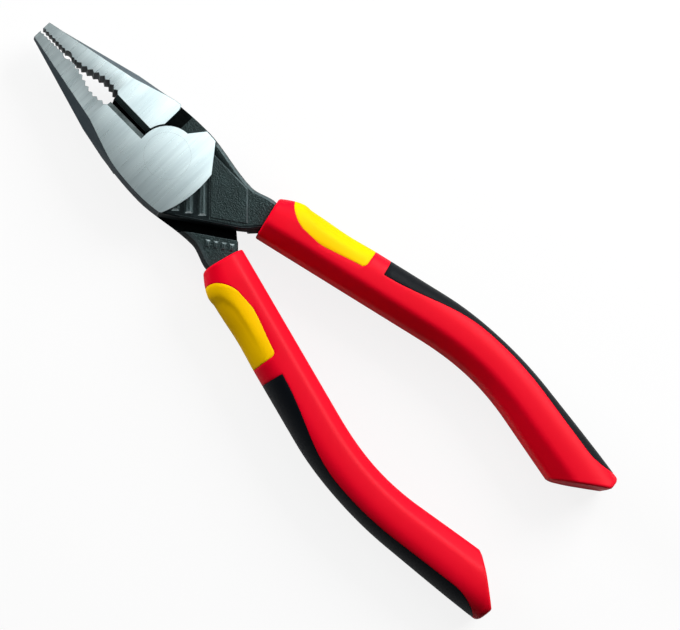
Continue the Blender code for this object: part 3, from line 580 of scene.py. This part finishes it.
# %% [markdown]
# The section of the grip is a rounded box, which a superellipse draws: like an ellipse, but with a
# power above two. On the inner side a fuller one is cut by a sloping flank, which gives the finger
# side its crease.

# %% Section of a grip
HALF_THICKNESS, MOUTH_DROP = 6.79, 0.5
POWER, FLANK_POWER = 2.5, 4.0
FLANK_SPAN, FLANK_LEVEL, FLANK_CRISP = 2.6, 3.6, 28.0
INSIDE = 0.987  # keeps the smooth skin within the box of the faceted solid


def section(station, angle, inset):
    """Offset and level of a point of the section, inside the surface by an inset."""
    side, power = (1, POWER) if math.cos(angle) > 0 else (-1, FLANK_POWER)
    reach = INSIDE * half_width(station, side) - inset
    height = HALF_THICKNESS - ease(MOUTH_DROP, 0.0, station / STOP_STATION) - inset
    across = abs(math.cos(angle)) ** (2 / power)
    up = abs(math.sin(angle)) ** (2 / power)
    point = Vector((reach * across, height * up))
    if side < 0:
        slope = Vector((height - FLANK_LEVEL, reach - FLANK_SPAN))
        beyond = slope.dot(point) / slope.dot((FLANK_SPAN, height))
        point *= (1.0 + beyond**FLANK_CRISP) ** (-1.0 / FLANK_CRISP)
    return side * point.x, math.copysign(point.y, math.sin(angle))


print("section half way", [round(v, 2) for v in section(STRAIGHT, math.pi / 4, 0.0)])

# %% [markdown]
# To keep the seams of the pad and the strip clean, columns of the mesh run along them. So each ring
# has a fixed number of points on the outer side, between the seams, and another on the inner side,
# and the seam's own offset changes from station to station. On the outer side the columns lie
# somewhat closer near the seams, where the surface bends most.

# %% Seams of the pad and the strip
PAD, STRIP = (3.3, 23.8), (28.2, STRIP_END)
PAD_DIP_STATION, PAD_DIP, PAD_END_EDGE, PAD_CORNER = 12.6, -0.5, 0.3, 1.0
STRIP_START_EDGE, STRIP_NARROW, STRIP_EDGE, STRIP_RUNOUT = 1.25, 54.0, 3.8, 8.6
NARROWEST = math.radians(5.0)


def seam_offset(station):
    """Offset of the edge of the pad or the strip at a station."""
    if station <= PAD[1]:
        run = (station - PAD_DIP_STATION) / (PAD[1] - PAD_DIP_STATION)
        into = max(0.0, station - PAD[1] + PAD_CORNER)
        return ease(PAD_DIP, PAD_END_EDGE, run) + PAD_CORNER - math.sqrt(PAD_CORNER**2 - into**2)
    tail = STRIP_END - STRIP_RUNOUT
    if station < tail:
        run = (station - STRIP[0]) / (STRIP_NARROW - STRIP[0])
        return ease(STRIP_START_EDGE, STRIP_EDGE, run)
    run = min(1.0, (station - tail) / STRIP_RUNOUT)
    return STRIP_EDGE + (half_width(STRIP_END, 1) - STRIP_EDGE) * run * run


def seam_angle(station):
    """Angle of the seam round the section, from its outermost point."""
    offset = seam_offset(station)
    side, power = (1, POWER) if offset > 0 else (-1, FLANK_POWER)
    share = min(1.0, abs(offset) / (INSIDE * half_width(station, side)))
    return max(NARROWEST, math.acos(side * share ** (power / 2)))


print("seam at its dip", round(math.degrees(seam_angle(PAD_DIP_STATION)), 1), "degrees round")

# %% Columns of a ring
OUTER, INNER = 36, 52
CLUSTER = 0.4


def spread(step):
    """Share of the way from the middle of the outer side to a seam, closer together near the seams."""
    even = 2 * step / OUTER - 1
    return (1 - CLUSTER) * even + CLUSTER * math.sin(math.pi / 2 * even)


def columns(station):
    """Angles of the points of a ring, first across the outer side and then round the inner one."""
    seam = seam_angle(station)
    outer = [seam * spread(step) for step in range(OUTER + 1)]
    rest = 2 * math.pi - 2 * seam
    return outer + [seam + rest * step / INNER for step in range(1, INNER)]


print("rings of", len(columns(0.0)), "points")

# %% [markdown]
# Behind its last straight stretch the grip ends in two faces: a narrow square one, and a slanting one
# that runs back to the inner side. A line beside the centre line meets one or the other, so the rings
# near the end lean over more and more until they lie in those faces.

# %% Where the end faces lie
END_CORNER, END_SLOPE = 3.0, math.radians(36.6)
END_LEAN = 14.0
PLAIN = END - END_LEAN


def end_reach(offset):
    """Station at which a line beside the centre line meets the end faces."""
    corner = END_CORNER * math.cos(TAIL_ANGLE)
    square = END + max(offset, corner) * math.tan(TAIL_ANGLE)
    return square + min(0.0, offset - corner) / math.tan(END_SLOPE - TAIL_ANGLE)


OUTER_END = end_reach(END_WIDTH / 2)
print("end faces from", round(end_reach(-END_WIDTH / 2), 2), "to", round(OUTER_END, 2), "mm")

# %% Rings of the outside
PAD_LEAN, LEAN_FADE = 0.09, 3.0


def outside_ring(stations, angles, inset=0.0, flat=1.0):
    """Ring of the outside, each point at its own station."""
    ring = []
    for station, angle in zip(stations, angles):
        offset, level = section(station, angle, inset)
        ring.append((*beside(station, offset), level * flat))
    return ring


def leaning_ring(station):
    """Ring behind the pad, which leans as the end of the pad does and further on as the end faces do."""
    angles = columns(station)
    stations = []
    for angle in angles:
        offset = section(station, angle, 0.0)[0]
        if station > PLAIN:
            share = (station - PLAIN) / (OUTER_END - PLAIN)
            stations.append(PLAIN + (end_reach(offset) - PLAIN) * share)
        else:
            fade = max(0.0, 1.0 - (station - PAD[1]) / LEAN_FADE)
            stations.append(station + PAD_LEAN * max(0.0, offset) * fade)
    return outside_ring(stations, angles)


def end_ring(drop, inset, flat=1.0):
    """Ring at a drop before the end faces."""
    angles = columns(OUTER_END)
    stations = [end_reach(section(END, angle, inset)[0]) - drop for angle in angles]
    return outside_ring(stations, angles, inset, flat)


print("a ring leans by", PAD_LEAN, "of its offset behind the pad")

# %% [markdown]
# The front edge of the pad is a quarter of an ellipse, from the seam's dip to the outermost point of
# the grip. The tang lies in a cavity of the sleeve, a box with its corners just rounded, which widens
# at the mouth to take the root of the tang.


# %% Front edge of the pad
def pad_front(angle):
    """Station of the front edge of the pad at an angle round the section."""
    outer = INSIDE * half_width(PAD_DIP_STATION, 1)
    share = min(1.0, (outer - section(PAD_DIP_STATION, angle, 0.0)[0]) / (outer - PAD_DIP))
    return PAD_DIP_STATION - (PAD_DIP_STATION - PAD[0]) * math.sqrt(1.0 - share * share)


FRONT = [pad_front(angle) for angle in columns(PAD_DIP_STATION)]
print("front edge of the pad from", round(min(FRONT), 2), "to", round(max(FRONT), 2), "mm")

# %% Rings of the cavity
TANG_LENGTH, TANG_GAP, ROOT_LENGTH = 80.0, 0.3, 10.0
SLEEVE_WALL, MOUTH_WALL = 2.7, 0.9
NECK_DRAFT = 0.9
CAVITY_POWER = 9.0


def cavity_ring(station):
    """Ring of the cavity that the tang fills."""
    ring = []
    for angle in columns(0.0):
        side = 1 if math.cos(angle) > 0 else -1
        root = half_width(0.0, side) - MOUTH_WALL
        wide = ease(root, GRIP_WIDTH / 2 - SLEEVE_WALL, station / ROOT_LENGTH) + TANG_GAP
        across = abs(math.cos(angle)) ** (2 / CAVITY_POWER)
        up = math.copysign(abs(math.sin(angle)) ** (2 / CAVITY_POWER), math.sin(angle))
        level = up * (NECK_RISE / MM + TANG_GAP)
        draft = NECK_DRAFT * abs(level) * MM / HEAD_RISE
        ring.append((*beside(station, side * (wide * across - draft)), level))
    return ring


print("cavity", TANG_LENGTH + TANG_GAP, "mm deep")

# %% [markdown]
# The sleeve could be lofted by a script, but it can also be pulled like a sock by hand: a disc at the
# bottom of the cavity is extruded out to the mouth, turned over its lip, and then drawn along the
# outside to the end, where it closes. Each pull is one extrusion, whose new ring is set in place.

# %% Rings from the cavity to the end of the pad
MOUTH_ROUND, LIP_STEPS, FRONT_STEPS = 0.45, 3, 14
PAD_STEPS, CORNER_STEPS = 18, 6


def steps(start, end, count):
    """Values from start to end, both included."""
    return [start + (end - start) * step / count for step in range(count + 1)]


inner_stations = (TANG_LENGTH + TANG_GAP, STRAIGHT, ROOT_LENGTH, ROOT_LENGTH / 2, 0.0)
rings = [cavity_ring(station) for station in inner_stations]
mouth_angles = columns(PAD_DIP_STATION)
for turn in steps(0.0, math.pi / 2, LIP_STEPS):
    lip = [MOUTH_ROUND * (1 - math.cos(turn))] * len(mouth_angles)
    rings.append(outside_ring(lip, mouth_angles, MOUTH_ROUND * (1 - math.sin(turn))))
for share in steps(0.0, 1.0, FRONT_STEPS)[1:]:
    stations = [MOUTH_ROUND + (edge - MOUTH_ROUND) * share for edge in FRONT]
    rings.append(outside_ring(stations, mouth_angles))
pad_rings = [len(rings) - 1]
ROUNDED = 1.0 - PAD_CORNER / (PAD[1] - PAD_DIP_STATION)
PAD_SHARES = steps(0.0, ROUNDED, PAD_STEPS) + steps(ROUNDED, 1.0, CORNER_STEPS)[1:]
for share in PAD_SHARES[1:]:
    angles = columns(PAD_DIP_STATION + (PAD[1] - PAD_DIP_STATION) * share)
    lean = [PAD_LEAN * share * max(0.0, section(PAD[1], angle, 0.0)[0]) for angle in angles]
    stations = [edge + (PAD[1] + more - edge) * share for edge, more in zip(FRONT, lean)]
    rings.append(outside_ring(stations, angles))
pad_rings.append(len(rings) - 1)
print("pad between the rings", pad_rings)

# %% Rings behind the pad, to the end of the grip
STRIP_LIP = 0.25
END_ROUND, END_STEPS = 0.8, 4
CLOSING = ((0.7, 0.1), (0.35, 0.2), (0.0, 0.3))  # share of the height, and how much further in
RUNS = ((STRIP[0], 6), (STRAIGHT, 10), (PLAIN, 26), (STRIP_END - STRIP_RUNOUT, 4), (STRIP_END, 12),
        (STRIP_END + STRIP_LIP, 1))
start = PAD[1]
strip_rings = []
for stop, count in RUNS:
    for station in steps(start, stop, count)[1:]:
        rings.append(leaning_ring(station))
    if stop in STRIP:
        strip_rings.append(len(rings) - 1)
    start = stop
for turn in steps(0.0, math.pi / 2, END_STEPS):
    rings.append(end_ring(END_ROUND * (1 - math.sin(turn)), END_ROUND * (1 - math.cos(turn))))
for flat, further in CLOSING:
    rings.append(end_ring(0.0, END_ROUND + further, flat))
print("strip between the rings", strip_rings, "of", len(rings))

# %% Pull the sleeve out of one disc
SAME_POINT = 0.004 * MM


def set_ring(thing, number, ring):
    """Set the corners of the selected face on a ring; each one remembers its ring and its column."""
    mesh = bmesh.from_edit_mesh(thing.data)
    ring_of = mesh.verts.layers.int["ring"]
    column_of = mesh.verts.layers.int["column"]
    face = next(face for face in mesh.faces if face.select)
    corners = [loop.vert for loop in face.loops]
    if number:
        corners.sort(key=lambda vert: vert[column_of])
    for column, (vert, point) in enumerate(zip(corners, ring)):
        vert.co = PIVOT + Vector(point) * MM
        vert[ring_of] = number
        vert[column_of] = column
    bmesh.update_edit_mesh(thing.data)


bpy.ops.object.select_all(action="DESELECT")
bpy.ops.mesh.primitive_circle_add(vertices=len(rings[0]), radius=MM, fill_type="NGON")
sleeve = bpy.context.active_object
sleeve.name = "right_grip_red_sleeve"
mesh = edit(sleeve)
mesh.verts.layers.int.new("ring")
mesh.verts.layers.int.new("column")
bpy.ops.mesh.select_all(action="SELECT")
for number, ring in enumerate(rings):
    if number:
        bpy.ops.mesh.extrude_region_move()
    set_ring(sleeve, number, ring)
bpy.ops.mesh.delete(type="ONLY_FACE")
bpy.ops.mesh.select_all(action="SELECT")
bpy.ops.mesh.remove_doubles(threshold=SAME_POINT)
bpy.ops.mesh.normals_make_consistent(inside=False)
bpy.ops.object.mode_set(mode="OBJECT")
print("sleeve", len(sleeve.data.polygons), "faces")

# %% [markdown]
# The pad and the strip are moulded into pockets of the sleeve. By hand that takes two moves: the faces
# between the seams are duplicated and separated, to become the inlay, and the same faces of the
# sleeve are then pushed in. A solidify modifier gives the inlay its depth, and small bevels on both
# sides of the seam leave the fine dark line that shows on the real grip.

# %% Part the inlays from the sleeve
POCKET_DEPTH, INLAY_DEPTH = 1.3 * MM, 1.25 * MM


def pick_inlay(thing, low, high):
    """Select the faces between the seams from one ring to another."""
    mesh = edit(thing, "FACE")
    ring_of = mesh.verts.layers.int["ring"]
    column_of = mesh.verts.layers.int["column"]
    for face in mesh.faces:
        if all(low <= v[ring_of] <= high and v[column_of] <= OUTER for v in face.verts):
            face.select_set(True)
    bmesh.update_edit_mesh(thing.data)


def part_inlay(run, name):
    """Separate an inlay from the sleeve and press its pocket in."""
    pick_inlay(sleeve, *run)
    bpy.ops.mesh.duplicate()
    bpy.ops.mesh.separate(type="SELECTED")
    bpy.ops.object.mode_set(mode="OBJECT")
    inlay = next(thing for thing in bpy.context.selected_objects if thing is not sleeve)
    inlay.name = name
    pick_inlay(sleeve, *run)
    bpy.ops.mesh.extrude_region_move()
    bpy.ops.transform.shrink_fatten(value=-POCKET_DEPTH)
    bpy.ops.object.mode_set(mode="OBJECT")
    return inlay


pad = part_inlay(pad_rings, "right_grip_yellow_pad")
strip = part_inlay(strip_rings, "right_grip_black_strip")
print("pad", len(pad.data.polygons), "faces, strip", len(strip.data.polygons), "faces")

# %% [markdown]
# The pad has a thumb rest: inside a raised rim at its front and along its seam, its surface is dished
# by a third of a millimetre. A boolean cut would leave a hard rim, so each point is moved inwards by a
# smooth step of its distance from the rim, and towards the end of the pad the dish runs out.

# %% Dish the thumb rest of the pad
DISH, DISH_RUNOUT = 0.35, 9.0
FRONT_RIM, SIDE_RIM, RIM_ROUND, RIM_STEP = 2.6, 2.2, 5.0, 1.3
girth = seam_angle(PAD_DIP_STATION) * HALF_THICKNESS
mesh = edit(pad)
ring_of = mesh.verts.layers.int["ring"]
column_of = mesh.verts.layers.int["column"]
for vert in mesh.verts:
    share = PAD_SHARES[vert[ring_of] - pad_rings[0]]
    length = PAD[1] - FRONT[vert[column_of]]
    from_seam = girth * (1.0 - abs(spread(vert[column_of])))
    short_of = (FRONT_RIM + RIM_ROUND - length * share, SIDE_RIM + RIM_ROUND - from_seam)
    corner = math.hypot(*(max(0.0, gap) for gap in short_of))
    inside = ease(0.0, 1.0, (RIM_ROUND - corner) / RIM_STEP)
    inside *= ease(0.0, 1.0, length * (1.0 - share) / DISH_RUNOUT)
    vert.co -= vert.normal * DISH * inside * MM
bmesh.update_edit_mesh(pad.data)
bpy.ops.object.mode_set(mode="OBJECT")
print("thumb rest dished by", DISH, "mm")

# %% Give the inlays their depth and the seams their edges
SEAM_EDGE, SEAM_ANGLE = 0.13 * MM, math.radians(48)
for piece in (pad, strip):
    modify(piece, "SOLIDIFY", thickness=INLAY_DEPTH, offset=-1.0)
for piece, plastic in ((sleeve, red_plastic), (pad, yellow_rubber), (strip, black_rubber)):
    modify(piece, "BEVEL", width=SEAM_EDGE, segments=2, limit_method="ANGLE",
           angle_limit=SEAM_ANGLE, use_clamp_overlap=False)
    piece.data.materials.clear()
    piece.data.materials.append(plastic)
    smooth(piece, 40)
    print(piece.name, len(piece.data.polygons), "faces")

# %% [markdown]
# The left grip comes out of the same mould as the right one. It is turned over as the rear half is, so
# its three pieces are copies that ride on the rear half.

# %% Copies for the left grip
PARTS = ((sleeve, "sleeve", "red_sleeve"), (pad, "pad", "yellow_pad"), (strip, "strip", "black_strip"))
for piece, part, slot in PARTS:
    other = turn_over(piece, piece.name.replace("right", "left"))
    settle_on(piece, "front", "right_grip_" + part)
    settle_on(other, "rear", "left_grip_" + part)

# %% [markdown]
# The studio: a pale floor and a room that lights softly all round. More light would turn the floor
# white but bleach the pliers, so the shaders ask which ray looks. To the camera the floor glows white
# for the most part, and the rest is real light, so that a faint shadow stays under the tool. In a
# reflection it glows a little, and to all other rays it is a grey that throws hardly any light back.

# %% Floor
FLOOR_SIZE, FLOOR_SEEN, FLOOR_MIRRORED = 4.0, 0.86, 0.15


def who_looks(tree):
    """Sockets that are 1 for a ray of the camera, for one of a reflection or glass, and for either."""
    rays = node(tree, "ShaderNodeLightPath").outputs
    mirrored = node(tree, "ShaderNodeMath", {
        0: rays["Is Glossy Ray"], 1: rays["Is Transmission Ray"]}, operation="MAXIMUM").outputs[0]
    either = node(tree, "ShaderNodeMath", {
        0: rays["Is Camera Ray"], 1: mirrored}, operation="MAXIMUM").outputs[0]
    return rays["Is Camera Ray"], mirrored, either


bpy.ops.object.select_all(action="DESELECT")
bpy.ops.mesh.primitive_plane_add(size=FLOOR_SIZE, location=(0.0, 0.0, 0.0))
floor = bpy.context.active_object
floor.name = "studio_floor"
paper = bpy.data.materials.new("white_paper_floor")
paper.use_nodes = True
tree = paper.node_tree
tree.nodes.remove(tree.nodes["Principled BSDF"])
to_camera, to_mirror, to_either = who_looks(tree)
mirrored = node(tree, "ShaderNodeMath", {0: to_mirror, 1: FLOOR_MIRRORED}, operation="MULTIPLY")
seen = node(tree, "ShaderNodeMath", {0: to_camera, 1: FLOOR_SEEN}, operation="MULTIPLY")
share = node(tree, "ShaderNodeMath", {
    0: mirrored.outputs[0], 1: seen.outputs[0]}, operation="MAXIMUM")
grey = node(tree, "ShaderNodeMix", {
    "Factor": to_either, "A": linear("#505050"), "B": linear("#ECECEC")}, data_type="RGBA")
matt = node(tree, "ShaderNodeBsdfDiffuse", {"Color": grey.outputs["Result"]})
white = node(tree, "ShaderNodeEmission", {"Color": (1.0, 1.0, 1.0, 1.0), "Strength": 1.0})
both = node(tree, "ShaderNodeMixShader", {0: share.outputs[0], 1: matt.outputs[0], 2: white.outputs[0]})
tree.links.new(both.outputs[0], tree.nodes["Material Output"].inputs["Surface"])
floor.data.materials.append(paper)
print("floor of", FLOOR_SIZE, "m glows by", FLOOR_SEEN, "to the camera")

# %% [markdown]
# The room is a dome. In reflections it is bright near the horizon and darker overhead, which gives the
# steel and the satin plastics their range from light to dark. As a light it is faint, because the
# lamps do that work, and to the camera it is white.

# %% World
ROOM_LIGHT = 0.04
LOW_SKY, HIGH_SKY = 0.3, 0.8
LOW_GLOW, HIGH_GLOW = 0.8, 0.2
world = bpy.data.worlds.new("soft_room")
bpy.context.scene.world = world
world.use_nodes = True
tree = world.node_tree
to_camera, to_mirror, to_either = who_looks(tree)
direction = node(tree, "ShaderNodeTexCoord").outputs["Generated"]
sky = node(tree, "ShaderNodeSeparateXYZ", {"Vector": direction})
dome = node(tree, "ShaderNodeMapRange", {
    "Value": sky.outputs["Z"], "From Min": LOW_SKY, "From Max": HIGH_SKY,
    "To Min": LOW_GLOW, "To Max": HIGH_GLOW})
level = node(tree, "ShaderNodeMapRange", {
    "Value": to_either, "To Min": ROOM_LIGHT, "To Max": dome.outputs[0]})
white = node(tree, "ShaderNodeMath", {0: level.outputs[0], 1: to_camera}, operation="MAXIMUM")
back = tree.nodes["Background"]
back.inputs["Color"].default_value = (1.0, 1.0, 1.0, 1.0)
tree.links.new(white.outputs[0], back.inputs["Strength"])
print("room lights by", ROOM_LIGHT)

# %% [markdown]
# Three soft lamps. The key stands on the right of the pliers, as the photograph has it. A low fill from
# the nose reaches the left flanks and pads, and as it would glare on the steel from some sides, it is
# left out of reflections. A faint lamp overhead lays a sheen on the ground faces.


# %% Lamps
def soft_box(name, place, size, watts, mirrored=True):
    """A square lamp that faces the pliers, and shows in their reflections or not."""
    lamp = bpy.data.lights.new(name, "AREA")
    lamp.size = size
    lamp.energy = watts
    made = bpy.data.objects.new(name, lamp)
    bpy.context.scene.collection.objects.link(made)
    made.location = place
    made.rotation_euler = (-made.location).to_track_quat("-Z", "Y").to_euler()
    made.visible_glossy = mirrored
    print(name, watts, "W")


soft_box("key_from_the_right", (0.05, 0.57, 0.38), 0.42, 6.1)
soft_box("fill_from_the_nose", (-0.70, -0.04, 0.15), 0.28, 5.7, mirrored=False)
soft_box("sheen_for_the_steel", (-0.09, 0.29, 0.60), 0.40, 1.08)

# %% [markdown]
# The camera looks almost straight down, tilted by a few degrees and rolled so that the pliers lie from
# corner to corner. It stands well back, as for a catalogue, so that near and far parts keep their
# sizes, and the lens follows from the distance and the width that the frame has to take in.

# %% Camera
TILT, ROLL = math.radians(8.6), math.radians(45.73)
DISTANCE, FRAME_WIDTH = 640 * MM, 149.8 * MM
CENTRE = Vector((10.84 * MM, 3.47 * MM, PIVOT.z))
right = Vector((math.cos(ROLL), math.sin(ROLL), 0.0))
up = Vector((-math.sin(ROLL), math.cos(ROLL), 0.0))
tilt = Matrix.Rotation(TILT, 3, "X")
axes = Matrix((tilt @ right, tilt @ up, tilt @ Vector((0.0, 0.0, 1.0)))).transposed()
lens = bpy.data.cameras.new("camera")
lens.sensor_width = 36.0
lens.lens = lens.sensor_width * DISTANCE / FRAME_WIDTH
camera = bpy.data.objects.new("camera", lens)
bpy.context.scene.collection.objects.link(camera)
camera.matrix_world = Matrix.Translation(CENTRE + axes.col[2] * DISTANCE) @ axes.to_4x4()
bpy.context.scene.camera = camera
bpy.context.scene.view_settings.view_transform = "Standard"
print("lens", round(lens.lens, 1), "mm")
